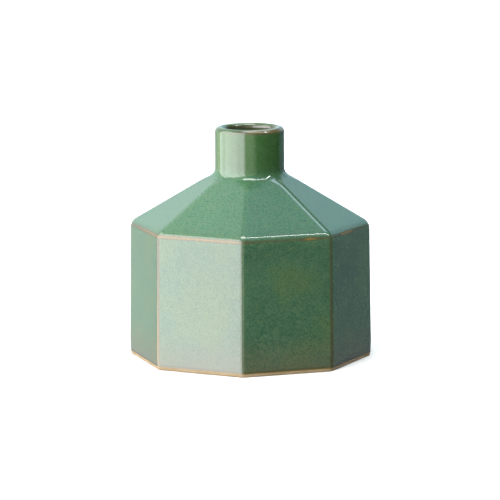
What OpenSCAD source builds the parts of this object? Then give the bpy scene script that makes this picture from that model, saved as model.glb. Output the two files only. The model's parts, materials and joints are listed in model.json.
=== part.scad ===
// Faceted bud vase in slip-cast stoneware: a flat-sided body, a sloping faceted shoulder and
// a round neck. The clay is one cast shell. A reactive glaze coats the outside down to a bare
// band at the foot, a liner glaze makes the inside hold water, and a patch of glaze fills the
// hollow under the base. Each coat is a solid of its own, fused to the clay face to face.
// Millimetres. Z is up and the origin is the centre of the foot, on the table. Two of the
// flats face along X. All outside sizes are over the glaze.

/* [Body] */
// Number of flat sides round the body
sides = 8; // [5:1:12]
// Width across the flats at the table
foot_flats = 102.5; // [80:0.1:150]
// Height of the edge between wall and shoulder
wall_h = 61.6; // [40:0.1:120]
// How far the shoulder climbs from that edge to the neck
shoulder_rise = 22.2; // [12:0.1:40]
// Lean of the wall towards its top, in degrees
wall_draft = 0.7; // [0:0.1:3]

/* [Neck] */
// Outside diameter of the neck
neck_d = 31.5; // [24:0.1:50]
// Length of the neck above the shoulder, lip included
neck_h = 21.2; // [12:0.1:45]

/* [Walls and coats] */
// Thickness of the cast clay wall
clay_wall = 3.75; // [2.5:0.05:5]
// Thickness of the clay floor over the hollow of the base
clay_floor = 5; // [3:0.1:9]
// Thickness of the glaze outside
outer_coat = 0.45; // [0.2:0.05:0.9]
// Thickness of the glaze inside
inner_coat = 0.35; // [0.2:0.05:0.9]
// Thickness of the glaze in the hollow under the base
base_coat = 0.4; // [0.2:0.05:0.9]

/* [Foot] */
// Height of the band at the foot that is left bare
bare_band = 1.5; // [1:0.1:4]
// Width of the bare ring that the vase stands on
foot_ring = 6; // [3:0.1:12]
// Depth of the hollow under the base
base_hollow = 1.8; // [1:0.1:4]

/* [Rounding] */
// Radius of the upright edges between wall flats
arris_r = 3.5; // [1.5:0.1:6]
// Radius of the sloping edges between shoulder flats
ridge_r = 4.2; // [1.5:0.1:6]
// Radius of the edge between wall and shoulder
shoulder_r = 5; // [1.5:0.1:8]
// Radius in the corner between shoulder and neck
neck_fillet_r = 4.5; // [1:0.1:8]
// Radius of the bottom edge of the foot
foot_r = 0.8; // [0.5:0.1:3]
// Radius of the corners inside the chamber, floor and ceiling
chamber_r = 4; // [2:0.1:10]
// Radius of the upright corners inside the chamber
chamber_arris_r = 6; // [2:0.1:12]

/* [Hidden] */

corner_points = 6;   // points on the round of each upright edge
arc_steps = 4;       // chords in the profile's roundings
fillet_steps = 6;    // chords in the fillet, where flats turn into a round neck
lip_steps = 10;      // chords over the lip
lip_land = 0.04;     // flat left between the round of the lip and the bore, so the bore cuts clean
cut_over = 1;        // how far a cutting tool passes the face that it opens
$fn = 96;

total_h = wall_h + shoulder_rise + neck_h;
foot_a = foot_flats / 2;
neck_r = neck_d / 2;
shoulder_a = foot_a - wall_h * tan(wall_draft);
whole_wall = outer_coat + clay_wall + inner_coat;
mouth_r = neck_r - whole_wall;
clay_bore_r = mouth_r + inner_coat;
lip_z = total_h - (whole_wall - lip_land) / 2;  // the lip is a full round from here up
floor_z = base_hollow + clay_floor;      // top of the clay floor
hollow_a = foot_a - outer_coat - foot_ring;
foot_edge_r = min(foot_r, bare_band * 0.8);

// ---- Points and lines in the profile plane, as [distance from the axis, height] ----

function unit(v) = v / norm(v);
// Left of a path that climbs the outside and comes down the inside, which is into the clay
function into_clay(p, q) = let (d = unit(q - p)) [-d[1], d[0]];
// A side of the profile as [point, direction], moved into the clay by depth
function side(p, q, depth) = [p + depth * into_clay(p, q), unit(q - p)];
function cross_2d(a, b) = a[0] * b[1] - a[1] * b[0];
function meet(s, t) = s[0] + s[1] * cross_2d(t[0] - s[0], t[1]) / cross_2d(s[1], t[1]);

// Points of the arc of radius r that rounds the corner where two sides meet
function rounded(s, t, r, steps) =
    let (
        corner = meet(s, t),
        turn = atan2(cross_2d(s[1], t[1]), s[1] * t[1]),
        hand = sign(turn),
        start = corner - s[1] * r * tan(abs(turn) / 2),
        centre = start + hand * r * [-s[1][1], s[1][0]],
        from = start - centre
    )
    [for (i = [0 : steps])
        let (a = turn * i / steps)
        centre + [from[0] * cos(a) - from[1] * sin(a), from[0] * sin(a) + from[1] * cos(a)]];

// The three outside lines of the profile, at a depth under the glaze
function wall_side(depth) = side([foot_a, 0], [shoulder_a, wall_h], depth);
function shoulder_side(depth) = side([shoulder_a, wall_h], [neck_r, wall_h + shoulder_rise], depth);
function neck_side(depth) = side([neck_r, wall_h], [neck_r, total_h], depth);
// Distance of the wall's flat from the axis at a height
function wall_a(z, depth) = foot_a - z * tan(wall_draft) - depth / cos(wall_draft);

// ---- Rings: [apothem, height, corner radius], a flat-sided outline with rounded corners ----

function ease(s) = s * s * (3 - 2 * s);

// From the wall over the shoulder, up the neck and over the lip, at a depth under the glaze.
// The corner radius ends as large as the ring itself, so the ring has become a circle.
function skin_rings(depth, bore_r) =
    let (
        edge = rounded(wall_side(depth), shoulder_side(depth), shoulder_r - depth, arc_steps),
        fillet = rounded(shoulder_side(depth), neck_side(depth), neck_fillet_r + depth, fillet_steps),
        lip_in = bore_r + lip_land,
        lip_mid = (neck_r - depth + lip_in) / 2,
        lip_r = (neck_r - depth - lip_in) / 2
    )
    concat(
        [for (i = [0 : arc_steps])
            [edge[i][0], edge[i][1], arris_r + (ridge_r - arris_r) * i / arc_steps - depth]],
        [for (i = [0 : fillet_steps])
            let (a = fillet[i][0], sharp = ridge_r - depth)
            [a, fillet[i][1], sharp + (a - sharp) * ease(i / fillet_steps)]],
        [for (i = [0 : lip_steps])
            let (t = 180 * i / lip_steps, a = lip_mid + lip_r * cos(t))
            [a, lip_z + lip_r * sin(t), a]]
    );

// From the table round the foot's bottom edge, at a depth under the glaze
function foot_rings(depth) =
    [for (p = rounded([[0, 0], [1, 0]], wall_side(depth), foot_edge_r, arc_steps))
        [p[0], p[1], arris_r - depth]];

// The chamber inside the clay, from its floor to a cap inside the bore, at a depth into the void
function chamber_rings(depth) =
    let (
        wall = outer_coat + clay_wall + depth,
        floor_side = [[0, floor_z + depth], [1, 0]],
        ceiling = shoulder_side(wall),
        cap_a = (neck_r - wall) * 0.7,
        cap_z = meet(ceiling, [[cap_a, 0], [0, 1]])[1],
        corner = chamber_arris_r - depth
    )
    concat(
        [for (p = rounded(floor_side, wall_side(wall), chamber_r - depth, arc_steps)) [p[0], p[1], corner]],
        [for (p = rounded(wall_side(wall), ceiling, chamber_r - depth, arc_steps)) [p[0], p[1], corner]],
        [[cap_a, cap_z, min(corner, cap_a)]]
    );

// Outline of one ring. Flats face along the axes, so the corners stand half a side round.
function ring_outline(a, corner) =
    let (half = 180 / sides, reach = (a - corner) / cos(half))
    [for (i = [0 : sides - 1], j = [0 : corner_points - 1])
        let (mid = (2 * i + 1) * half, t = mid - half + 2 * half * (j + 0.5) / corner_points)
        [reach * cos(mid) + corner * cos(t), reach * sin(mid) + corner * sin(t)]];

// ---- Solids from rings ----

function ring_points(rings) =
    [for (r = rings, p = ring_outline(r[0], r[2])) [p[0], p[1], r[1]]];

// Triangles between each ring and the next; with loop true the last ring joins the first
function band_faces(count, around, loop) =
    [for (i = [0 : count - (loop ? 1 : 2)], j = [0 : around - 1])
        let (
            k = (j + 1) % around,
            next = (i + 1) % count,
            a = i * around + j,
            b = i * around + k,
            c = next * around + k,
            d = next * around + j
        )
        each [[a, c, b], [a, d, c]]];

around = sides * corner_points;  // points in one ring

// A solid whose rings are stacked from its bottom face to its top face
module stacked(rings) {
    count = len(rings);
    bottom = [for (j = [0 : around - 1]) j];
    top = [for (j = [around - 1 : -1 : 0]) (count - 1) * around + j];
    polyhedron(ring_points(rings), concat([bottom, top], band_faces(count, around, false)));
}

// A coat: its rings run up one face and back down the other
module coat(rings) {
    polyhedron(ring_points(rings), band_faces(len(rings), around, true));
}

function backwards(list) = [for (i = [len(list) - 1 : -1 : 0]) list[i]];

// The void inside the clay: chamber and bore, up to a height, at a depth into the void
module cavity(depth, top_z) {
    stacked(chamber_rings(depth));
    translate([0, 0, wall_h])
        cylinder(r = clay_bore_r - depth, h = top_z - wall_h);
}

// A flat-sided plug with the outline of the hollow under the base
module base_plug(from_z, to_z) {
    translate([0, 0, from_z])
        linear_extrude(to_z - from_z)
            polygon(ring_outline(hollow_a, arris_r));
}

// ---- The pieces of the vase ----

// Cast stoneware shell: foot, wall, shoulder, neck and lip in one piece
module clay_body() {
    color("#c9ab80")
        difference() {
            stacked(concat(foot_rings(outer_coat), skin_rings(outer_coat, clay_bore_r)));
            cavity(0, total_h + cut_over);
            base_plug(-cut_over, base_hollow);
        }
}

// Green glaze from the bare band up over the lip to the top of the bore
module outer_glaze() {
    start = [[wall_a(bare_band, 0), bare_band, arris_r]];
    under = [[wall_a(bare_band, outer_coat), bare_band, arris_r - outer_coat]];
    color("#4f8a63")
        coat(concat(
            start,
            skin_rings(0, mouth_r),
            backwards(skin_rings(outer_coat, clay_bore_r)),
            under
        ));
}

// Liner glaze over the floor, walls and ceiling of the chamber and up the bore to the lip
module inner_glaze() {
    color("#5d7f5a")
        difference() {
            cavity(0, lip_z);
            cavity(inner_coat, total_h + cut_over);
        }
}

// Glaze in the hollow under the base, inside the bare ring
module base_glaze() {
    color("#4f8a63")
        base_plug(base_hollow - base_coat, base_hollow);
}

clay_body();
outer_glaze();
inner_glaze();
base_glaze();
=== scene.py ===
"""Faceted bud vase in slip-cast stoneware, built around its measured frame.

Every piece is one loft: a profile of rings climbs the clay, and each ring is a flat-sided
outline with rounded corners, which turns into a circle at the neck. A node tree does the
lofting and writes two distances on the surface, which the glaze reads to break brown.
"""
import json
import math
from collections import namedtuple

import bpy
from mathutils import Matrix, Vector

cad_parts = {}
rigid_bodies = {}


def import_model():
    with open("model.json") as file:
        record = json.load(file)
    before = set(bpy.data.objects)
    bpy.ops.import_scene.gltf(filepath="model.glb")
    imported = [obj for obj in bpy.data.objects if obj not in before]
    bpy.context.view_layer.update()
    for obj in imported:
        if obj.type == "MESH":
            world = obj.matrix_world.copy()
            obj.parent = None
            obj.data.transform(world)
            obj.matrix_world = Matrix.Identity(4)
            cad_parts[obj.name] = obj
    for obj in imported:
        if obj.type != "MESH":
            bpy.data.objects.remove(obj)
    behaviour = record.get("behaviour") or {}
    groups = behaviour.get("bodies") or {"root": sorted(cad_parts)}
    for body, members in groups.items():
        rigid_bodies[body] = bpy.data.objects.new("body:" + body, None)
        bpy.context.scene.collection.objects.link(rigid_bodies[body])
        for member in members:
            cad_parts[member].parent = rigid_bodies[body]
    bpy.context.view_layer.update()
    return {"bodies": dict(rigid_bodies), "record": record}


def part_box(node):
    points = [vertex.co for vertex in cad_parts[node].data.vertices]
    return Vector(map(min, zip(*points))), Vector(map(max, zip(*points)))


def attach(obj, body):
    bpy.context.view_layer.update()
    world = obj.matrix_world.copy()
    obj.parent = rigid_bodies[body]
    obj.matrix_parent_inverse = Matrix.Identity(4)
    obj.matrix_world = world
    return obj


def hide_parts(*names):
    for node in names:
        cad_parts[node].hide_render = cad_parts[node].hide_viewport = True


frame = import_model()

bl_info = {
    "name": "Faceted Stoneware Bud Vase",
    "version": (1, 0, 0),
    "blender": (4, 5, 0),
    "location": "3D View > Sidebar > Vase",
    "description": "Builds a glazed stoneware bud vase and a small studio around it",
    "category": "Add Mesh",
}

MM = 0.001

# Rows of the loft in each stretch of the profile; the green coat's outer face has twice as many
WALL_ROWS = 24
EDGE_ROWS = 8      # over the edge between wall and shoulder
SLOPE_ROWS = 14
FILLET_ROWS = 8    # up the fillet under the neck
NECK_ROWS = 8
LIP_ROWS = 12
FOOT_ROWS = 6      # round the bottom edge of the foot
CORNER_ROWS = 6    # round each corner of the chamber
CEILING_ROWS = 8
BORE_ROWS = 12

# Columns of the loft
FLAT_COLUMNS = 16  # across one flat
ARRIS_COLUMNS = 8  # round one upright edge

WELD = 1e-6                    # points nearer than this, in metres, become one
CRISP_FOLD = math.radians(40)  # an edge that folds more than this is shaded sharp
RIPPLE_LENGTH = 22 * MM        # about from crest to crest of the slow ripple
COAT_AT_FOOT = 0.3             # share of the outer coat's thickness that its foot keeps

# Sizes that the frame gives: height, bare band, floor, hollow of the base and bore
OUTER_LOW, OUTER_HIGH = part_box("outer_glaze")
INNER_LOW, INNER_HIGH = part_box("inner_glaze")
BASE_LOW, BASE_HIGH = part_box("base_glaze")
BORE = next(m for m in frame["record"]["mounts"] if m["name"] == "stem_bore")
BODY = next(iter(frame["bodies"]))


# ---------------------------------------------------------------- properties

class VaseShape(bpy.types.PropertyGroup):
    """Sizes of the vase, over the glaze."""

    sides: bpy.props.IntProperty(
        name="Sides", description="Flat sides round the body", default=8, min=5, max=12)
    wall_height: bpy.props.FloatProperty(
        name="Wall height", description="Height of the edge between wall and shoulder",
        default=61.6 * MM, unit="LENGTH", precision=4)
    shoulder_rise: bpy.props.FloatProperty(
        name="Shoulder rise", description="Climb of the shoulder up to the neck",
        default=22.2 * MM, unit="LENGTH", precision=4)
    wall_draft: bpy.props.FloatProperty(
        name="Wall draft", description="Lean of the wall towards its top",
        default=math.radians(0.7), subtype="ANGLE")
    neck_diameter: bpy.props.FloatProperty(
        name="Neck diameter", description="Outside diameter of the neck",
        default=31.5 * MM, unit="LENGTH", precision=4)
    outer_coat: bpy.props.FloatProperty(
        name="Outer coat", description="Thickness of the glaze outside",
        default=0.45 * MM, unit="LENGTH", precision=5)
    inner_coat: bpy.props.FloatProperty(
        name="Inner coat", description="Thickness of the glaze inside",
        default=0.35 * MM, unit="LENGTH", precision=5)
    clay_wall: bpy.props.FloatProperty(
        name="Clay wall", description="Thickness of the cast wall",
        default=3.75 * MM, unit="LENGTH", precision=4)
    arris_radius: bpy.props.FloatProperty(
        name="Arris radius", description="Round of the upright edges between wall flats",
        default=3.5 * MM, unit="LENGTH", precision=4)
    ridge_radius: bpy.props.FloatProperty(
        name="Ridge radius", description="Round of the sloping edges between shoulder flats",
        default=4.2 * MM, unit="LENGTH", precision=4)
    shoulder_radius: bpy.props.FloatProperty(
        name="Shoulder radius", description="Round of the edge between wall and shoulder",
        default=5.0 * MM, unit="LENGTH", precision=4)
    fillet_radius: bpy.props.FloatProperty(
        name="Neck fillet", description="Round in the corner between shoulder and neck",
        default=4.5 * MM, unit="LENGTH", precision=4)
    ridge_fade: bpy.props.FloatProperty(
        name="Ridge fade", description="Length of shoulder over which its ridges melt into the neck",
        default=4.0 * MM, unit="LENGTH", precision=4)
    foot_radius: bpy.props.FloatProperty(
        name="Foot radius", description="Round of the bottom edge of the foot",
        default=0.8 * MM, unit="LENGTH", precision=4)
    chamber_radius: bpy.props.FloatProperty(
        name="Chamber radius", description="Round of the corners inside the chamber",
        default=4.0 * MM, unit="LENGTH", precision=4)
    chamber_arris: bpy.props.FloatProperty(
        name="Chamber arris", description="Round of the upright corners inside the chamber",
        default=6.0 * MM, unit="LENGTH", precision=4)
    feather: bpy.props.FloatProperty(
        name="Feather", description="Height over which the coat thins out above the bare band",
        default=8.0 * MM, unit="LENGTH", precision=4)
    unevenness: bpy.props.FloatProperty(
        name="Unevenness", description="Slow ripple of the fired surface",
        default=0.06 * MM, unit="LENGTH", precision=5)


class VaseGlaze(bpy.types.PropertyGroup):
    """Colours and marks of the glaze and the clay, as sRGB hex."""

    deep: bpy.props.StringProperty(
        name="Deep green", description="Glaze where it lies thickest", default="#2c4833")
    body: bpy.props.StringProperty(
        name="Body green", description="Glaze over most of the wall", default="#324f3a")
    yellow: bpy.props.StringProperty(
        name="Yellow green", description="Glaze where it is warm and thin", default="#3d5233")
    teal: bpy.props.StringProperty(
        name="Teal speck", description="Dark crystals in the glaze", default="#1b3d31")
    mist: bpy.props.StringProperty(
        name="Mist", description="Milky veil in the glaze", default="#445940")
    shoulder: bpy.props.StringProperty(
        name="Shoulder green", description="Glaze lying thick on the slope", default="#355b40")
    neck: bpy.props.StringProperty(
        name="Neck green", description="Glaze on the neck, where two pours overlap", default="#2a4a1f")
    brown: bpy.props.StringProperty(
        name="Break brown", description="Glaze where it thins over an edge", default="#383a28")
    tan: bpy.props.StringProperty(
        name="Break tan", description="Clay showing through the thinnest glaze", default="#66552a")
    foot: bpy.props.StringProperty(
        name="Foot khaki", description="Thin glaze over the clay towards the foot", default="#4a4939")
    clay: bpy.props.StringProperty(
        name="Clay", description="Bare fired stoneware", default="#87755a")
    liner: bpy.props.StringProperty(
        name="Liner", description="Glaze inside the bore and chamber", default="#3a4027")
    edge_band: bpy.props.FloatProperty(
        name="Edge band", description="Half width of the brown line along an upright edge",
        default=0.85 * MM, unit="LENGTH", precision=4)
    speck_size: bpy.props.FloatProperty(
        name="Speck size", description="Distance between crystals, drawn coarse enough to show",
        default=0.65 * MM, unit="LENGTH", precision=4)
    gloss: bpy.props.FloatProperty(
        name="Roughness", description="Roughness of the fired glaze",
        default=0.07, min=0, max=1, subtype="FACTOR")


class VaseStage(bpy.types.PropertyGroup):
    """Camera and studio."""

    azimuth: bpy.props.FloatProperty(
        name="Camera azimuth", description="Turn of the camera round the vase, from -Y",
        default=math.radians(-18.84), subtype="ANGLE")
    elevation: bpy.props.FloatProperty(
        name="Camera elevation", description="How far the camera looks down",
        default=math.radians(9.42), subtype="ANGLE")
    roll: bpy.props.FloatProperty(
        name="Camera roll", description="Turn of the camera about its own view",
        default=math.radians(-0.25), subtype="ANGLE")
    distance: bpy.props.FloatProperty(
        name="Camera distance", description="From the camera to its target",
        default=1.640, unit="LENGTH")
    lens: bpy.props.FloatProperty(
        name="Lens", description="Focal length in millimetres for a 36 mm sensor", default=259.5)
    target_height: bpy.props.FloatProperty(
        name="Target height", description="Height that the camera looks at",
        default=48.3 * MM, unit="LENGTH", precision=4)
    floor_radius: bpy.props.FloatProperty(
        name="Floor radius", description="Radius of the floor", default=3.0, unit="LENGTH")
    floor_colour: bpy.props.StringProperty(
        name="Floor colour", description="Pale matt paper", default="#d6d5d2")


# ---------------------------------------------------------------- helpers

# A Mix node's inputs by place, because those of every data type share their names
NUMBER_A, NUMBER_B = 2, 3
VECTOR_A, VECTOR_B = 4, 5
COLOUR_A, COLOUR_B = 6, 7


def linear(hex_colour):
    """An sRGB hex colour as linear RGBA."""
    channels = [int(hex_colour[i:i + 2], 16) / 255 for i in (1, 3, 5)]
    return [c / 12.92 if c <= 0.04045 else ((c + 0.055) / 1.055) ** 2.4 for c in channels] + [1]


def add(tree, kind, inputs=(), **settings):
    """Adds a node. An input is a value, a socket, or a node whose first live output feeds it.

    Map Range takes a value, the two ends that it runs between, and the two ends that they become.
    """
    node = tree.nodes.new(kind)
    for name, value in settings.items():
        setattr(node, name, value)
    pairs = inputs.items() if isinstance(inputs, dict) else enumerate(inputs)
    for key, value in pairs:
        if isinstance(value, bpy.types.Node):
            value = next(s for s in value.outputs if s.enabled)
        if isinstance(value, bpy.types.NodeSocket):
            tree.links.new(value, node.inputs[key])
        elif value is not None:
            node.inputs[key].default_value = value
    return node


def set_ramp(ramp, stops):
    """Puts (place, colour) stops on a colour ramp."""
    elements = ramp.color_ramp.elements
    while len(elements) < len(stops):
        elements.new(0.5)
    for element, (place, colour) in zip(elements, stops):
        element.position = place
        element.color = colour


def new_material(name):
    """An empty node material and its tree."""
    material = bpy.data.materials.new(name)
    material.use_nodes = True
    material.node_tree.nodes.clear()
    return material, material.node_tree


# ---------------------------------------------------------------- profile

def side_of(start, end, depth=0.0):
    """A profile side as (point, direction), moved into the clay, which lies left of its path."""
    direction = (end - start).normalized()
    inward = Vector((-direction.y, direction.x))
    return start + depth * inward, direction


def meet(side, other):
    """Where two profile sides cross."""
    between = other[0] - side[0]
    return side[0] + side[1] * between.cross(other[1]) / side[1].cross(other[1])


def rounded(side, other, radius, steps):
    """Points of the arc that rounds the corner where two sides meet."""
    corner = meet(side, other)
    turn = math.atan2(side[1].cross(other[1]), side[1].dot(other[1]))
    hand = math.copysign(1, turn)
    start = corner - side[1] * radius * math.tan(abs(turn) / 2)
    centre = start + hand * radius * Vector((-side[1].y, side[1].x))
    return [centre + Matrix.Rotation(turn * i / steps, 2) @ (start - centre) for i in range(steps + 1)]


def between(start, end, steps):
    """Points that cut a straight run into equal steps, without its two ends."""
    return [start.lerp(end, i / steps) for i in range(1, steps)]


# One ring: distance of its flats from the axis, height, corner radius, and how sharply its
# corners break the glaze, from 0 to 1
Ring = namedtuple("Ring", "apothem height corner sharp")


def ease(x):
    """A smooth step from 0 to 1."""
    return x * x * (3 - 2 * x)


class Profile:
    """The vase's profile, worked out from its shape and the frame."""

    def __init__(self, shape):
        self.shape = shape
        self.top = OUTER_HIGH.z
        self.band = OUTER_LOW.z
        self.foot_a = OUTER_HIGH.x + self.band * math.tan(shape.wall_draft)
        self.shoulder_a = self.foot_a - shape.wall_height * math.tan(shape.wall_draft)
        self.neck_r = shape.neck_diameter / 2
        self.slope = math.atan2(shape.shoulder_rise, self.shoulder_a - self.neck_r)
        self.mouth_r = BORE["dims"]["r_mm"] * MM
        self.clay_bore_r = self.mouth_r + shape.inner_coat
        self.lip_z = INNER_HIGH.z
        self.floor_z = INNER_LOW.z
        self.hollow_z = BASE_HIGH.z
        self.hollow_a = BASE_HIGH.x

    def wall(self, depth):
        """The wall's line, at a depth under the glaze."""
        top = Vector((self.shoulder_a, self.shape.wall_height))
        return side_of(Vector((self.foot_a, 0)), top, depth)

    def shoulder(self, depth):
        """The shoulder's line, at a depth under the glaze."""
        start = Vector((self.shoulder_a, self.shape.wall_height))
        rise = self.shape.wall_height + self.shape.shoulder_rise
        return side_of(start, Vector((self.neck_r, rise)), depth)

    def neck(self, depth):
        """The neck's line, at a depth under the glaze."""
        low = Vector((self.neck_r, self.shape.wall_height))
        return side_of(low, Vector((self.neck_r, self.top)), depth)

    def wall_a(self, height, depth=0.0):
        """Distance of the wall's flat from the axis at a height."""
        draft = self.shape.wall_draft
        return self.foot_a - height * math.tan(draft) - depth / math.cos(draft)

    def outside(self, start_z, depth, detail):
        """Rings from a height on the wall, over shoulder, neck and lip, to the top of the bore."""
        s = self.shape
        arris, ridge = s.arris_radius - depth, s.ridge_radius - depth
        edge = rounded(self.wall(depth), self.shoulder(depth),
                       s.shoulder_radius - depth, EDGE_ROWS * detail)
        fillet = rounded(self.shoulder(depth), self.neck(depth),
                         s.fillet_radius + depth, FILLET_ROWS * detail)
        bore = self.clay_bore_r if depth else self.mouth_r
        lip_mid = (self.neck_r - depth + bore) / 2
        lip_r = (self.neck_r - depth - bore) / 2
        foot = Vector((self.wall_a(start_z, depth), start_z))
        rings = [Ring(*foot, arris, 1)]
        rings += [Ring(*p, arris, 1) for p in between(foot, edge[0], WALL_ROWS * detail)]
        for i, p in enumerate(edge):
            t = i / (len(edge) - 1)
            rings.append(Ring(*p, arris + (ridge - arris) * t, 1 - ease(t)))

        # The corner grows as large as its ring while the slope turns into the neck
        slope = between(edge[-1], fillet[0], SLOPE_ROWS * detail) + fillet
        turning = (s.fillet_radius + depth) * (math.pi / 2 - self.slope) + s.ridge_fade
        left = sum(math.dist(p, q) for p, q in zip(slope, slope[1:]))
        for p, q in zip(slope, slope[1:] + slope[-1:]):
            blend = ease(max(0, 1 - left / turning))
            rings.append(Ring(*p, ridge + (p.x - ridge) * blend, 0))
            left -= math.dist(p, q)

        chords = LIP_ROWS * detail
        lip = [Vector((lip_mid + lip_r * math.cos(a), self.lip_z + lip_r * math.sin(a)))
               for a in (math.pi * i / chords for i in range(chords + 1))]
        rings += [Ring(*p, p.x, 0) for p in between(fillet[-1], lip[0], NECK_ROWS * detail)]
        rings += [Ring(*p, p.x, 0) for p in lip]
        return rings

    def chamber(self, depth):
        """Rings from the axis at the chamber's floor to the top of the bore, going into the void."""
        s = self.shape
        wall = s.outer_coat + s.clay_wall + depth
        bore = self.clay_bore_r - depth
        corner = s.chamber_arris - depth
        floor = (Vector((0, self.floor_z + depth)), Vector((1, 0)))
        low = rounded(floor, self.wall(wall), s.chamber_radius - depth, CORNER_ROWS)
        high = rounded(self.wall(wall), self.shoulder(wall), s.chamber_radius - depth, CORNER_ROWS)
        throat = meet(self.shoulder(wall), (Vector((bore, 0)), Vector((0, 1))))
        rings = [Ring(0, self.floor_z + depth, 0, 0)]
        rings += [Ring(*p, corner, 0) for p in low + high]
        for p in between(high[-1], throat, CEILING_ROWS):
            blend = ease((high[-1].x - p.x) / (high[-1].x - throat.x))
            rings.append(Ring(*p, corner + (p.x - corner) * blend, 0))
        rings.append(Ring(*throat, bore, 0))
        top = Vector((bore, self.lip_z))
        rings += [Ring(*p, bore, 0) for p in between(throat, top, BORE_ROWS) + [top]]
        return rings


# ---------------------------------------------------------------- loft tree

def declare_sockets(tree):
    """Names the loft's inputs and its output."""
    sockets = tree.interface
    sockets.new_socket("Profile", in_out="INPUT", socket_type="NodeSocketGeometry")
    counts = {"Sides": 8, "Flat columns": FLAT_COLUMNS, "Corner columns": ARRIS_COLUMNS, "Rings": 2}
    for name, default in counts.items():
        socket = sockets.new_socket(name, in_out="INPUT", socket_type="NodeSocketInt")
        socket.default_value = default
    sockets.new_socket("Ripple", in_out="INPUT", socket_type="NodeSocketFloat")
    sockets.new_socket("Material", in_out="INPUT", socket_type="NodeSocketMaterial")
    sockets.new_socket("Skin", in_out="OUTPUT", socket_type="NodeSocketGeometry")


def read_ring(tree, profile, row):
    """The numbers that the profile holds for the ring of each row."""
    ring = {}
    for name in ("apothem", "corner", "sharp", "height", "climb"):
        named = add(tree, "GeometryNodeInputNamedAttribute", (name,), data_type="FLOAT")
        ring[name] = add(tree, "GeometryNodeSampleIndex", {
            "Geometry": profile, "Value": named, "Index": row},
            data_type="FLOAT", domain="POINT")
    return ring


def fired(tree, skin, given):
    """The skin with its seams welded, a slow ripple, its shading and its material."""
    closed = add(tree, "GeometryNodeMergeByDistance", {"Geometry": skin, "Distance": WELD})

    at = add(tree, "GeometryNodeInputPosition")
    waves = add(tree, "ShaderNodeTexNoise", {
        "Vector": at, "Scale": 1 / RIPPLE_LENGTH, "Detail": 1.0})
    swing = add(tree, "ShaderNodeMath", (waves, 0.5), operation="SUBTRACT")
    amount = add(tree, "ShaderNodeMath", (swing, given["Ripple"]), operation="MULTIPLY")
    normal = add(tree, "GeometryNodeInputNormal")
    shift = add(tree, "ShaderNodeVectorMath", {"Vector": normal, "Scale": amount}, operation="SCALE")
    rippled = add(tree, "GeometryNodeSetPosition", {"Geometry": closed, "Offset": shift})

    # Smooth all over, but for the folds at the rims of the coats and of the hollow
    smooth = add(tree, "GeometryNodeSetShadeSmooth", {"Geometry": rippled})
    fold = add(tree, "GeometryNodeInputMeshEdgeAngle")
    soft = add(tree, "ShaderNodeMath", (fold, CRISP_FOLD), operation="LESS_THAN")
    crisp = add(tree, "GeometryNodeSetShadeSmooth", {"Geometry": smooth, "Shade Smooth": soft},
                domain="EDGE")
    real = add(tree, "GeometryNodeRealizeInstances", {"Geometry": crisp})
    return add(tree, "GeometryNodeSetMaterial", {"Geometry": real, "Material": given["Material"]})


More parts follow.
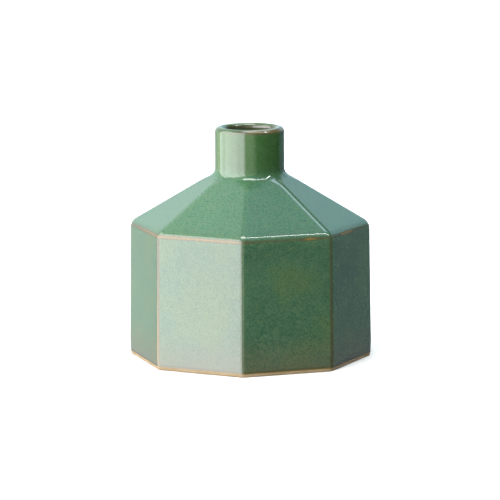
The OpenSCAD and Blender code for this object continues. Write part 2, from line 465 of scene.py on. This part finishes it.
def loft_tree():
    """Node tree that stands one rounded, flat-sided ring at each point of a profile.

    The profile comes in as a chain of points with the ring's numbers on each. Columns run
    round the vase and rows climb the profile, so a column's number gives its place on a
    corner's round or on a flat.
    """
    tree = bpy.data.node_groups.new("Ring loft", "GeometryNodeTree")
    declare_sockets(tree)
    given = add(tree, "NodeGroupInput").outputs
    sides, flats, corners = given["Sides"], given["Flat columns"], given["Corner columns"]
    per_side = add(tree, "ShaderNodeMath", (flats, corners), operation="ADD")
    around = add(tree, "ShaderNodeMath", (per_side, sides), operation="MULTIPLY")
    columns = add(tree, "ShaderNodeMath", (around, 1), operation="ADD")
    grid = add(tree, "GeometryNodeMeshGrid", (1, 1, columns, given["Rings"]))

    # Which ring and which column each point of the grid belongs to
    index = add(tree, "GeometryNodeInputIndex")
    row = add(tree, "ShaderNodeMath", (index, given["Rings"]), operation="MODULO")
    ratio = add(tree, "ShaderNodeMath", (index, given["Rings"]), operation="DIVIDE")
    column = add(tree, "ShaderNodeMath", (ratio,), operation="FLOOR")
    turn = add(tree, "ShaderNodeMath", (column, per_side), operation="DIVIDE")
    sector = add(tree, "ShaderNodeMath", (turn,), operation="FLOOR")
    local = add(tree, "ShaderNodeMath", (column, per_side), operation="MODULO")
    ring = read_ring(tree, given["Profile"], row)

    # Place along the corner's round, then along the flat that follows it, each from 0 to 1
    on_round = add(tree, "ShaderNodeMath", (local, corners), operation="DIVIDE", use_clamp=True)
    past_round = add(tree, "ShaderNodeMath", (local, corners), operation="SUBTRACT")
    on_flat = add(tree, "ShaderNodeMath", (past_round, flats), operation="DIVIDE", use_clamp=True)

    half = add(tree, "ShaderNodeMath", (math.pi, sides), operation="DIVIDE")
    whole = add(tree, "ShaderNodeMath", (half, 2), operation="MULTIPLY")
    mid = add(tree, "ShaderNodeMath", (sector, whole, half), operation="MULTIPLY_ADD")
    lean = add(tree, "ShaderNodeMath", (on_round, whole, half), operation="MULTIPLY_ADD")
    lean = add(tree, "ShaderNodeMath", (lean, whole), operation="SUBTRACT")
    facing = add(tree, "ShaderNodeMath", (mid, lean), operation="ADD")

    # Centre of the corner's round; along a flat it slides towards the next corner's
    spread = add(tree, "ShaderNodeMath", (ring["apothem"], ring["corner"]), operation="SUBTRACT")
    cos_half = add(tree, "ShaderNodeMath", (half,), operation="COSINE")
    reach = add(tree, "ShaderNodeMath", (spread, cos_half), operation="DIVIDE")
    here = add(tree, "ShaderNodeCombineXYZ", (reach, 0, 0))
    next_mid = add(tree, "ShaderNodeMath", (mid, whole), operation="ADD")
    hub = add(tree, "ShaderNodeVectorRotate", {"Vector": here, "Angle": mid}, rotation_type="Z_AXIS")
    hub_next = add(tree, "ShaderNodeVectorRotate", {"Vector": here, "Angle": next_mid},
                   rotation_type="Z_AXIS")
    hub_now = add(tree, "ShaderNodeMix", {
        "Factor": on_flat, VECTOR_A: hub, VECTOR_B: hub_next}, data_type="VECTOR")
    spoke = add(tree, "ShaderNodeCombineXYZ", (ring["corner"], 0, 0))
    arm = add(tree, "ShaderNodeVectorRotate", {"Vector": spoke, "Angle": facing},
              rotation_type="Z_AXIS")
    level = add(tree, "ShaderNodeCombineXYZ", (0, 0, ring["height"]))
    flat_place = add(tree, "ShaderNodeVectorMath", (hub_now, arm), operation="ADD")
    place = add(tree, "ShaderNodeVectorMath", (flat_place, level), operation="ADD")
    lofted = add(tree, "GeometryNodeSetPosition", {"Geometry": grid, "Position": place})

    # Distance from the nearest upright edge, along the surface
    off_mid = add(tree, "ShaderNodeMath", (lean,), operation="ABSOLUTE")
    round_run = add(tree, "ShaderNodeMath", (off_mid, ring["corner"]), operation="MULTIPLY")
    gap = add(tree, "ShaderNodeVectorMath", (hub_next, hub), operation="DISTANCE")
    gap = gap.outputs["Value"]
    back = add(tree, "ShaderNodeMath", (1, on_flat), operation="SUBTRACT")
    nearer = add(tree, "ShaderNodeMath", (on_flat, back), operation="MINIMUM")
    from_arris = add(tree, "ShaderNodeMath", (nearer, gap, round_run), operation="MULTIPLY_ADD")

    skin = lofted
    for name, value in (("from_arris", from_arris), ("climb", ring["climb"]), ("sharp", ring["sharp"])):
        skin = add(tree, "GeometryNodeStoreNamedAttribute", {
            "Geometry": skin, "Name": name, "Value": value}, data_type="FLOAT", domain="POINT")

    add(tree, "NodeGroupOutput", (fired(tree, skin, given),))
    return tree


def loft(name, rings, shape, material, ripple=0.0, face=None):
    """A closed piece lofted over the rings, as a plain mesh. Past its face the climb is nothing."""
    tree = bpy.data.node_groups.get("Ring loft") or loft_tree()
    chain = bpy.data.meshes.new(name + " profile")
    chain.from_pydata([(r.apothem, 0, r.height) for r in rings], [], [])
    climb = [0.0]
    for low, high in zip(rings, rings[1:]):
        climb.append(climb[-1] + math.dist(low[:2], high[:2]))
    if face:
        climb[face:] = [0.0] * len(climb[face:])
    numbers = {
        "apothem": [r.apothem for r in rings],
        "corner": [r.corner for r in rings],
        "sharp": [r.sharp for r in rings],
        "height": [r.height for r in rings],
        "climb": climb,
    }
    for attribute, values in numbers.items():
        chain.attributes.new(attribute, "FLOAT", "POINT").data.foreach_set("value", values)
    carrier = bpy.data.objects.new(name + " profile", chain)
    bpy.context.scene.collection.objects.link(carrier)
    lofting = carrier.modifiers.new("Loft", "NODES")
    lofting.node_group = tree
    choices = {"Sides": shape.sides, "Flat columns": FLAT_COLUMNS, "Corner columns": ARRIS_COLUMNS,
               "Rings": len(rings), "Ripple": ripple, "Material": material}
    for item in tree.interface.items_tree:
        if item.in_out == "INPUT" and item.name in choices:
            lofting[item.identifier] = choices[item.name]
    evaluated = carrier.evaluated_get(bpy.context.evaluated_depsgraph_get())
    mesh = bpy.data.meshes.new_from_object(evaluated)
    mesh.name = name
    bpy.data.objects.remove(carrier)
    bpy.data.meshes.remove(chain)
    piece = bpy.data.objects.new(name, mesh)
    bpy.context.scene.collection.objects.link(piece)
    return piece


def stand_for(piece, node):
    """Puts a piece in a CAD node's place: hangs it on the vase's body and hides the node."""
    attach(piece, BODY)
    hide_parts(node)


# ---------------------------------------------------------------- materials

GLAZE_IOR = 1.52
CLAY_IOR = 1.5

# Sizes of the marks that firing leaves, from one to the next
CLOUD = 26 * MM    # slow drift from deep green to yellow green
MOTTLE = 3.4 * MM  # milky patches
PEEL = 6 * MM      # shallow dimples in the gloss
POUR = 7 * MM      # clouds in a glaze that no edge breaks
STAIN = 9 * MM     # toasted patches on bare clay
GROG = 0.7 * MM    # specks in the clay; real ones are a third of that, too fine to show

# The green is painted darker on one side of the vase and lighter on the other: partly glaze that ran
# while it melted and lies thickest there, partly painted shade of the side turned away from the softbox
THICK_SHADED_SIDE = (0.55, -0.83, 0)
FULL_EDGE = 0.56  # cosine from there to the upright edge that keeps most of its glaze

RAGGED = 2 * MM                # how far the crystals push a brown line about
BAND_PLACE = math.radians(18)  # where the brown line lies in the turn from wall to shoulder
LIP_DROP = 1.6 * MM            # from the crest to the brown ring, if nothing were rounded

# What the glaze reads: places, distances along the surface, noise, and how far each point faces the
# side where the glaze pooled and the green is painted darker as shade
Coat = namedtuple("Coat", "place height climb arris sharp cloud speck pooled")


def read_coat(tree, look):
    """Adds the nodes that the glaze's colours share."""
    place = add(tree, "ShaderNodeTexCoord").outputs["Object"]
    height = add(tree, "ShaderNodeSeparateXYZ", (place,)).outputs["Z"]
    climb = add(tree, "ShaderNodeAttribute", attribute_name="climb").outputs["Fac"]
    arris = add(tree, "ShaderNodeAttribute", attribute_name="from_arris").outputs["Fac"]
    sharp = add(tree, "ShaderNodeAttribute", attribute_name="sharp").outputs["Fac"]
    cloud = add(tree, "ShaderNodeTexNoise", {
        "Vector": place, "Scale": 1 / CLOUD, "Detail": 3.0, "Roughness": 0.5})
    # The real crystals are a third of this size or less, too fine to show
    speck = add(tree, "ShaderNodeTexNoise", {
        "Vector": place, "Scale": 1 / look.speck_size, "Detail": 2.0, "Roughness": 0.7})
    # How far each point faces the thick side, where the green is painted darker, partly as painted
    # shade
    level = add(tree, "ShaderNodeVectorMath", (place, (1, 1, 0)), operation="MULTIPLY")
    outward = add(tree, "ShaderNodeVectorMath", (level,), operation="NORMALIZE")
    pooled = add(tree, "ShaderNodeVectorMath", (outward, THICK_SHADED_SIDE), operation="DOT_PRODUCT")
    pooled = pooled.outputs["Value"]
    return Coat(place, height, climb, arris, sharp, cloud, speck, pooled)


def mottled_green(tree, look, profile, coat):
    """The green of the coat: clouds of colour, a milky veil, crystals, darker on the side where it
    pooled, which is partly painted shade.
    """
    s = profile.shape
    neck_z = s.wall_height + s.shoulder_rise
    off_wall = add(tree, "ShaderNodeMapRange", (
        coat.height, s.wall_height - 5 * MM, s.wall_height + 4 * MM, 0, 0.8))
    on_neck = add(tree, "ShaderNodeMapRange", (
        coat.height, neck_z - 3 * MM, neck_z + 5 * MM, 0, 0.9))
    ground = add(tree, "ShaderNodeValToRGB", (coat.cloud,))
    set_ramp(ground, [(0.34, linear(look.deep)), (0.5, linear(look.body)), (0.66, linear(look.yellow))])
    for cover, colour in ((off_wall, look.shoulder), (on_neck, look.neck)):
        ground = add(tree, "ShaderNodeMix", {
            "Factor": cover, COLOUR_A: ground, COLOUR_B: linear(colour)}, data_type="RGBA")

    mottle = add(tree, "ShaderNodeTexNoise", {
        "Vector": coat.place, "Scale": 1 / MOTTLE, "Detail": 3.0, "Roughness": 0.6})
    veil = add(tree, "ShaderNodeMapRange", (mottle, 0.42, 0.70, 0, 0.5))
    light_spots = add(tree, "ShaderNodeMapRange", (coat.speck, 0.51, 0.64, 0, 0.62))
    dark_spots = add(tree, "ShaderNodeMapRange", (coat.speck, 0.49, 0.36, 0, 0.8))
    spotted = ground
    for cover, colour in ((veil, look.mist), (light_spots, look.mist), (dark_spots, look.teal)):
        spotted = add(tree, "ShaderNodeMix", {
            "Factor": cover, COLOUR_A: spotted, COLOUR_B: linear(colour)}, data_type="RGBA")
    calm = add(tree, "ShaderNodeMath", (on_neck, 0.5), operation="MULTIPLY")
    spotted = add(tree, "ShaderNodeMix", {
        "Factor": calm, COLOUR_A: spotted, COLOUR_B: ground}, data_type="RGBA")

    # Painted darker towards the thick side and lighter away from it, partly pooled glaze and partly
    # painted shade; the slope is nearly as thick all round, so there the change is smaller than on wall
    # and neck
    upright_depth_and_shade = add(tree, "ShaderNodeMapRange", (coat.pooled, -0.8, 1, 1.22, 0.79))
    slope_depth_and_shade = add(tree, "ShaderNodeMapRange", (coat.pooled, 0.2, 1, 1, 0.84))
    on_slope = add(tree, "ShaderNodeMath", (off_wall, on_neck), operation="SUBTRACT", use_clamp=True)
    depth = add(tree, "ShaderNodeMix", {
        "Factor": on_slope, NUMBER_A: upright_depth_and_shade, NUMBER_B: slope_depth_and_shade})
    return add(tree, "ShaderNodeVectorMath", {"Vector": spotted, "Scale": depth}, operation="SCALE")


def off_line(tree, coat, ragged, middle):
    """Distance up or down the profile from a line round the vase that the crystals make ragged."""
    away = add(tree, "ShaderNodeMath", (coat.climb, middle), operation="SUBTRACT")
    away = add(tree, "ShaderNodeMath", (away,), operation="ABSOLUTE")
    return add(tree, "ShaderNodeMath", (away, ragged), operation="ADD")


def thin_edges(tree, look, profile, coat):
    """How thin the coat has run on its edges, from 0 to 1."""
    s = profile.shape
    ragged = add(tree, "ShaderNodeMath", (coat.speck, 0.5), operation="SUBTRACT")
    ragged = add(tree, "ShaderNodeMath", (ragged, RAGGED), operation="MULTIPLY")

    # The wall's upright edges: least on the full edge, most towards the foot
    off_arris = add(tree, "ShaderNodeMath", (coat.arris, ragged), operation="ADD")
    arris = add(tree, "ShaderNodeMapRange", (
        off_arris, 0.5 * look.edge_band, 1.6 * look.edge_band, 1, 0))
    aside = add(tree, "ShaderNodeMath", (coat.pooled, FULL_EDGE), operation="SUBTRACT")
    aside = add(tree, "ShaderNodeMath", (aside,), operation="ABSOLUTE")
    worn_aside = add(tree, "ShaderNodeMapRange", (aside, 0.05, 0.74, 0.24, 0.76))
    worn_low = add(tree, "ShaderNodeMapRange", (coat.height, 12 * MM, 46 * MM, 1.2, 0.9))
    for share in (worn_aside, worn_low, coat.sharp):
        arris = add(tree, "ShaderNodeMath", (arris, share), operation="MULTIPLY")

    # The edge between wall and shoulder, where the line comes and goes with the clouds
    edge_turn = math.pi / 2 - profile.slope - s.wall_draft
    edge_start = s.wall_height - profile.band - s.shoulder_radius * math.tan(edge_turn / 2)
    off_band = off_line(tree, coat, ragged, edge_start + s.shoulder_radius * BAND_PLACE)
    band = add(tree, "ShaderNodeMapRange", (off_band, 0.2 * MM, 1.4 * MM, 0.95, 0))
    patches = add(tree, "ShaderNodeMapRange", (coat.cloud, 0.42, 0.54, 0.45, 1))
    band = add(tree, "ShaderNodeMath", (band, patches), operation="MULTIPLY")

    # The lip: a brown ring outside, strongest on the thick side, where its darker brown is partly
    # painted shade, and a thin coat inside the mouth
    slope_run = (profile.shoulder_a - profile.neck_r) / math.cos(profile.slope)
    neck_run = profile.top - s.wall_height - s.shoulder_rise
    ring_at = s.wall_height - profile.band + slope_run + neck_run - LIP_DROP
    off_ring = off_line(tree, coat, ragged, ring_at)
    lip = add(tree, "ShaderNodeMapRange", (off_ring, 0.4 * MM, 1.9 * MM, 1, 0))
    run_off_and_shade = add(tree, "ShaderNodeMapRange", (coat.pooled, 0, 0.7, 0.3, 0.8))
    lip = add(tree, "ShaderNodeMath", (lip, run_off_and_shade), operation="MULTIPLY")
    mouth = add(tree, "ShaderNodeMapRange", (
        coat.climb, ring_at + 2.6 * MM, ring_at + 4.4 * MM, 0, 0.6))

    thin = arris
    for other in (band, lip, mouth):
        thin = add(tree, "ShaderNodeMath", (thin, other), operation="MAXIMUM")
    return thin


def reactive_glaze(look, profile):
    """Reactive copper-green stoneware glaze, poured and fired: glossy, mottled, brown where thin.

    It runs off the edges as it melts, so they fire brown to tan, and crystals of two greens
    mottle the flats. Near the foot it stays thin and speckled brown.
    """
    material, tree = new_material("reactive green glaze on stoneware")
    coat = read_coat(tree, look)
    green = mottled_green(tree, look, profile, coat)
    edges = thin_edges(tree, look, profile, coat)

    low = add(tree, "ShaderNodeMapRange", (coat.climb, 0, 17 * MM, 0.75, 0))
    foot_specks = add(tree, "ShaderNodeMapRange", (coat.speck, 0.40, 0.60, 0.5, 1.15))
    foot_thin = add(tree, "ShaderNodeMath", (low, foot_specks), operation="MULTIPLY", use_clamp=True)
    rim = add(tree, "ShaderNodeMapRange", (coat.climb, 0.2 * MM, 1.5 * MM, 0.9, 0))
    thin = add(tree, "ShaderNodeMath", (edges, rim), operation="MAXIMUM", use_clamp=True)
    brown_part = add(tree, "ShaderNodeMapRange", (thin, 0.08, 0.6, 0, 1))
    tan_part = add(tree, "ShaderNodeMapRange", (thin, 0.62, 1, 0, 0.85))
    colour = green
    for cover, under in ((foot_thin, look.foot), (brown_part, look.brown), (tan_part, look.tan)):
        colour = add(tree, "ShaderNodeMix", {
            "Factor": cover, COLOUR_A: colour, COLOUR_B: linear(under)}, data_type="RGBA")

    roughness = add(tree, "ShaderNodeMapRange", (thin, 0, 1, look.gloss, look.gloss + 0.12))
    dimples = add(tree, "ShaderNodeTexNoise", {
        "Vector": coat.place, "Scale": 1 / PEEL, "Detail": 1.0})
    bump = add(tree, "ShaderNodeBump", {"Strength": 0.02, "Distance": 1 * MM, "Height": dimples})
    shader = add(tree, "ShaderNodeBsdfPrincipled", {
        "Base Color": colour, "Roughness": roughness, "IOR": GLAZE_IOR, "Normal": bump})
    add(tree, "ShaderNodeOutputMaterial", (shader,))
    return material


def bare_clay(look):
    """Fired buff stoneware, sponged clean of glaze: matt, with fine dark grog specks."""
    material, tree = new_material("bare buff stoneware")
    place = add(tree, "ShaderNodeTexCoord").outputs["Object"]
    grain = add(tree, "ShaderNodeTexNoise", {
        "Vector": place, "Scale": 1 / GROG, "Detail": 4.0, "Roughness": 0.6})
    stain = add(tree, "ShaderNodeTexNoise", {"Vector": place, "Scale": 1 / STAIN, "Detail": 2.0})
    toasted = add(tree, "ShaderNodeMapRange", (stain, 0.35, 0.7, 0, 0.6))
    base = add(tree, "ShaderNodeMix", {
        "Factor": toasted, COLOUR_A: linear(look.clay), COLOUR_B: linear(look.tan)}, data_type="RGBA")
    grog = add(tree, "ShaderNodeMapRange", (grain, 0.62, 0.72, 0, 0.7))
    colour = add(tree, "ShaderNodeMix", {
        "Factor": grog, COLOUR_A: base, COLOUR_B: linear(look.brown)}, data_type="RGBA")
    bump = add(tree, "ShaderNodeBump", {"Strength": 0.25, "Distance": 0.3 * MM, "Height": grain})
    shader = add(tree, "ShaderNodeBsdfPrincipled", {
        "Base Color": colour, "Roughness": 0.78, "IOR": CLAY_IOR, "Normal": bump})
    add(tree, "ShaderNodeOutputMaterial", (shader,))
    return material


def poured_glaze(name, thick, middle, thin):
    """A glaze poured where no edge breaks it: glossy, and cloudy over the clay."""
    material, tree = new_material(name)
    place = add(tree, "ShaderNodeTexCoord").outputs["Object"]
    cloud = add(tree, "ShaderNodeTexNoise", {
        "Vector": place, "Scale": 1 / POUR, "Detail": 4.0, "Roughness": 0.6})
    colour = add(tree, "ShaderNodeValToRGB", (cloud,))
    set_ramp(colour, [(0.35, linear(thick)), (0.5, linear(middle)), (0.7, linear(thin))])
    bump = add(tree, "ShaderNodeBump", {"Strength": 0.08, "Distance": 1 * MM, "Height": cloud})
    shader = add(tree, "ShaderNodeBsdfPrincipled", {
        "Base Color": colour, "Roughness": 0.1, "IOR": GLAZE_IOR, "Normal": bump})
    add(tree, "ShaderNodeOutputMaterial", (shader,))
    return material


def liner_glaze(look):
    """Liner glaze, poured in and out again: a thin brown-green skin that holds the water."""
    return poured_glaze("liner glaze on stoneware", look.deep, look.liner, look.brown)


def base_green(look):
    """The green reactive glaze in the hollow of the base, where it pools flat."""
    return poured_glaze("reactive green glaze under the base", look.deep, look.body, look.foot)


def pale_paper(stage):
    """Matt white backdrop paper."""
    material, tree = new_material("matt backdrop paper")
    shader = add(tree, "ShaderNodeBsdfPrincipled", {
        "Base Color": linear(stage.floor_colour), "Roughness": 0.9, "Specular IOR Level": 0.1})
    add(tree, "ShaderNodeOutputMaterial", (shader,))
    return material


# ---------------------------------------------------------------- studio

Panel = namedtuple("Panel", "name azimuth half_width elevation half_height soft radiance tint")

# Light round the vase, as seen from its middle, in degrees and from far to near: each panel
# hides what is behind it. Azimuth counts from the camera, positive to its right.
STUDIO = (
    Panel("ceiling, right", 90, 90, 66, 18, 4, 1.1, "#c4e2ff"),
    Panel("overhead card", 0, 200, 90, 14, 3, 12.0, "#ffffff"),
    Panel("wall over the softbox", -63, 50, 61, 13, 4, 1.3, "#ffffff"),
    Panel("front fill", 0, 18, 5, 40, 12, 1.7, "#f4ffe0"),
    Panel("right wall", 143, 26, 0, 40, 4, 0.34, "#c8dcff"),
    Panel("backdrop", 160, 28, 17.5, 12, 1.5, 1.25, "#c2e9ff"),
    Panel("bright wall behind", 178, 18, 45, 17, 5, 3.5, "#ffffff"),
    Panel("left wall, low", -142, 39, -20, 25, 3, 0.95, "#f8f8ff"),
    Panel("left wall, high", -142, 39, 34, 35, 4, 1.3, "#e8f0ff"),
    Panel("left wall, near the softbox", -122, 12, -20, 25, 4, 2.0, "#fffff0"),
    Panel("far window", 150, 10, 55, 6.5, 2, 4.8, "#d4e6ff"),
    Panel("softbox, fading side", -38, 21.5, 11, 39, 6, 7.5, "#fffdff"),
    Panel("large softbox, left", -78, 36, 11, 39, 5, 8.8, "#fffcff"),
    Panel("softbox, far end", -101, 13, 11, 39, 6, 6.3, "#fffcff"),
)
# A tube that shows in first reflections only: by the second one a fired surface has spread it
LAMP = Panel("narrow lamp, above right", 80, 2.5, 60, 17, 1, 52, "#ffffff")
FIRST_REFLECTION = 2.5  # ray depth that light from the first reflection is under
ROOM = 0.03             # radiance of the room between the panels


def panel_cover(tree, azimuth, elevation, panel):
    """How much of the panel lies in each direction, fading over its soft rim."""
    centre, half_width, height, half_height, soft = [math.radians(v) for v in panel[1:6]]
    aside = add(tree, "ShaderNodeMath", (azimuth, centre), operation="SUBTRACT")
    aside = add(tree, "ShaderNodeMath", (aside, math.pi, -math.pi), operation="WRAP")
    above = add(tree, "ShaderNodeMath", (elevation, height), operation="SUBTRACT")
    covers = []
    for off, half in ((aside, half_width), (above, half_height)):
        away = add(tree, "ShaderNodeMath", (off,), operation="ABSOLUTE")
        covers.append(add(tree, "ShaderNodeMapRange", (away, half - soft, half + soft, 1, 0),
                          interpolation_type="SMOOTHSTEP"))
    return add(tree, "ShaderNodeMath", covers, operation="MULTIPLY")


def studio_world(stage):
    """A dark room with panels of light; the camera itself sees plain white behind the vase."""
    world = bpy.data.worlds.new("studio")
    world.use_nodes = True
    tree = world.node_tree
    tree.nodes.clear()
    way = add(tree, "ShaderNodeTexCoord").outputs["Generated"]
    turned = add(tree, "ShaderNodeMapping", {"Vector": way, "Rotation": (0, 0, -stage.azimuth)})
    parts = add(tree, "ShaderNodeSeparateXYZ", (turned,)).outputs
    towards = add(tree, "ShaderNodeMath", (parts["Y"], -1), operation="MULTIPLY")
    azimuth = add(tree, "ShaderNodeMath", (parts["X"], towards), operation="ARCTAN2")
    elevation = add(tree, "ShaderNodeMath", (parts["Z"],), operation="ARCSINE")
    path = add(tree, "ShaderNodeLightPath").outputs
    once = add(tree, "ShaderNodeMath", (path["Ray Depth"], FIRST_REFLECTION), operation="LESS_THAN")
    light = (ROOM, ROOM, ROOM)
    for panel in (*STUDIO, LAMP):
        inside = panel_cover(tree, azimuth, elevation, panel)
        if panel is LAMP:
            inside = add(tree, "ShaderNodeMath", (inside, once), operation="MULTIPLY")
        glow = [c * panel.radiance for c in linear(panel.tint)[:3]]
        light = add(tree, "ShaderNodeMix", {
            "Factor": inside, VECTOR_A: light, VECTOR_B: glow}, data_type="VECTOR")
    colour = add(tree, "ShaderNodeMix", {
        "Factor": path["Is Camera Ray"], COLOUR_A: light, COLOUR_B: (1, 1, 1, 1)}, data_type="RGBA")
    background = add(tree, "ShaderNodeBackground", (colour, 1.0))
    add(tree, "ShaderNodeOutputWorld", (background,))
    return world


def aim_camera(stage):
    """The camera, turned round the vase and looking down on it."""
    lens = bpy.data.cameras.new("camera")
    lens.lens = stage.lens
    lens.sensor_width = 36
    lens.clip_end = 20
    camera = bpy.data.objects.new("camera", lens)
    bpy.context.scene.collection.objects.link(camera)
    turn = Matrix.Rotation(stage.azimuth, 4, "Z")
    tilt = Matrix.Rotation(math.pi / 2 - stage.elevation, 4, "X")
    back = Matrix.Translation((0, 0, stage.distance))
    rise = Matrix.Translation((0, 0, stage.target_height))
    camera.matrix_world = rise @ turn @ tilt @ back @ Matrix.Rotation(stage.roll, 4, "Z")
    return camera


def lay_floor(stage):
    """A round sheet of paper under the vase."""
    count = 96
    rim = [Vector((math.cos(a), math.sin(a), 0)) * stage.floor_radius
           for a in (2 * math.pi * i / count for i in range(count))]
    mesh = bpy.data.meshes.new("floor")
    mesh.from_pydata(rim, [], [list(range(count))])
    mesh.materials.append(pale_paper(stage))
    floor = bpy.data.objects.new("floor", mesh)
    bpy.context.scene.collection.objects.link(floor)
    floor.visible_glossy = False  # in the gloss, the panels carry on below the table
    return floor


# ---------------------------------------------------------------- operators

class VASE_OT_stage(bpy.types.Operator):
    """Add the camera, the studio light and the floor"""

    bl_idname = "vase.stage"
    bl_label = "Stage"

    def execute(self, context):
        scene = context.scene
        scene.camera = aim_camera(scene.vase_stage)
        scene.world = studio_world(scene.vase_stage)
        scene.view_settings.view_transform = "Standard"
        scene.view_settings.look = "None"
        lay_floor(scene.vase_stage)
        return {"FINISHED"}


class VASE_OT_clay_body(bpy.types.Operator):
    """Add the cast clay shell, bare at the foot"""

    bl_idname = "vase.clay_body"
    bl_label = "Clay body"

    def execute(self, context):
        shape = context.scene.vase_shape
        profile = Profile(shape)
        depth = shape.outer_coat
        arris = shape.arris_radius - depth
        ground = (Vector((0, 0)), Vector((1, 0)))
        foot = rounded(ground, profile.wall(depth), shape.foot_radius, FOOT_ROWS)
        hollow = [Ring(0, profile.hollow_z, 0, 0),
                  Ring(profile.hollow_a, profile.hollow_z, shape.arris_radius, 0),
                  Ring(profile.hollow_a, 0, shape.arris_radius, 0)]
        rings = hollow + [Ring(*p, arris, 1) for p in foot]
        rings += profile.outside(profile.band, depth, 1)
        rings += list(reversed(profile.chamber(0)))
        piece = loft("clay_shell", rings, shape, bare_clay(context.scene.vase_glaze))
        stand_for(piece, "clay_body")
        return {"FINISHED"}


class VASE_OT_outer_glaze(bpy.types.Operator):
    """Add the green glaze over wall, shoulder, neck and lip"""

    bl_idname = "vase.outer_glaze"
    bl_label = "Outer glaze"

    def execute(self, context):
        shape = context.scene.vase_shape
        profile = Profile(shape)
        face = []
        for ring in profile.outside(profile.band, 0, 2):
            risen = min(1, (ring.height - profile.band) / shape.feather)
            sunk = (1 - COAT_AT_FOOT) * shape.outer_coat * (1 - risen) ** 2
            face.append(ring._replace(apothem=ring.apothem - sunk, corner=ring.corner - sunk))
        under = list(reversed(profile.outside(profile.band, shape.outer_coat, 1)))
        rings = face + under + face[:1]
        glaze = reactive_glaze(context.scene.vase_glaze, profile)
        piece = loft("green_glaze_coat", rings, shape, glaze, shape.unevenness, len(face))
        stand_for(piece, "outer_glaze")
        return {"FINISHED"}


class VASE_OT_inner_glaze(bpy.types.Operator):
    """Add the liner glaze in the chamber and bore"""

    bl_idname = "vase.inner_glaze"
    bl_label = "Inner glaze"

    def execute(self, context):
        shape = context.scene.vase_shape
        profile = Profile(shape)
        rings = profile.chamber(0) + list(reversed(profile.chamber(shape.inner_coat)))
        piece = loft("liner_glaze_coat", rings, shape, liner_glaze(context.scene.vase_glaze))
        stand_for(piece, "inner_glaze")
        return {"FINISHED"}


class VASE_OT_base_glaze(bpy.types.Operator):
    """Add the patch of glaze in the hollow under the base"""

    bl_idname = "vase.base_glaze"
    bl_label = "Base glaze"

    def execute(self, context):
        shape = context.scene.vase_shape
        profile = Profile(shape)
        edge = profile.hollow_a
        corner = shape.arris_radius
        rings = [Ring(0, BASE_LOW.z, 0, 0), Ring(edge, BASE_LOW.z, corner, 0),
                 Ring(edge, BASE_HIGH.z, corner, 0), Ring(0, BASE_HIGH.z, 0, 0)]
        piece = loft("base_glaze_patch", rings, shape, base_green(context.scene.vase_glaze))
        stand_for(piece, "base_glaze")
        return {"FINISHED"}


class VASE_PT_sidebar(bpy.types.Panel):
    """The vase's pieces and their sizes."""

    bl_label = "Bud vase"
    bl_space_type = "VIEW_3D"
    bl_region_type = "UI"
    bl_category = "Vase"

    def draw(self, context):
        for operator in OPERATORS:
            self.layout.operator(operator.bl_idname)
        for group in (context.scene.vase_shape, context.scene.vase_glaze, context.scene.vase_stage):
            column = self.layout.column()
            for name in type(group).__annotations__:
                column.prop(group, name)


OPERATORS = (VASE_OT_stage, VASE_OT_clay_body, VASE_OT_outer_glaze, VASE_OT_inner_glaze,
             VASE_OT_base_glaze)
GROUPS = {"vase_shape": VaseShape, "vase_glaze": VaseGlaze, "vase_stage": VaseStage}


def register():
    for cls in (*GROUPS.values(), *OPERATORS, VASE_PT_sidebar):
        bpy.utils.register_class(cls)
    for name, group in GROUPS.items():
        setattr(bpy.types.Scene, name, bpy.props.PointerProperty(type=group))


def unregister():
    for name in GROUPS:
        delattr(bpy.types.Scene, name)
    for cls in reversed((*GROUPS.values(), *OPERATORS, VASE_PT_sidebar)):
        bpy.utils.unregister_class(cls)


def main():
    register()
    bpy.ops.vase.stage()
    bpy.ops.vase.clay_body()
    bpy.ops.vase.outer_glaze()
    bpy.ops.vase.inner_glaze()
    bpy.ops.vase.base_glaze()


if __name__ == "__main__":
    main()
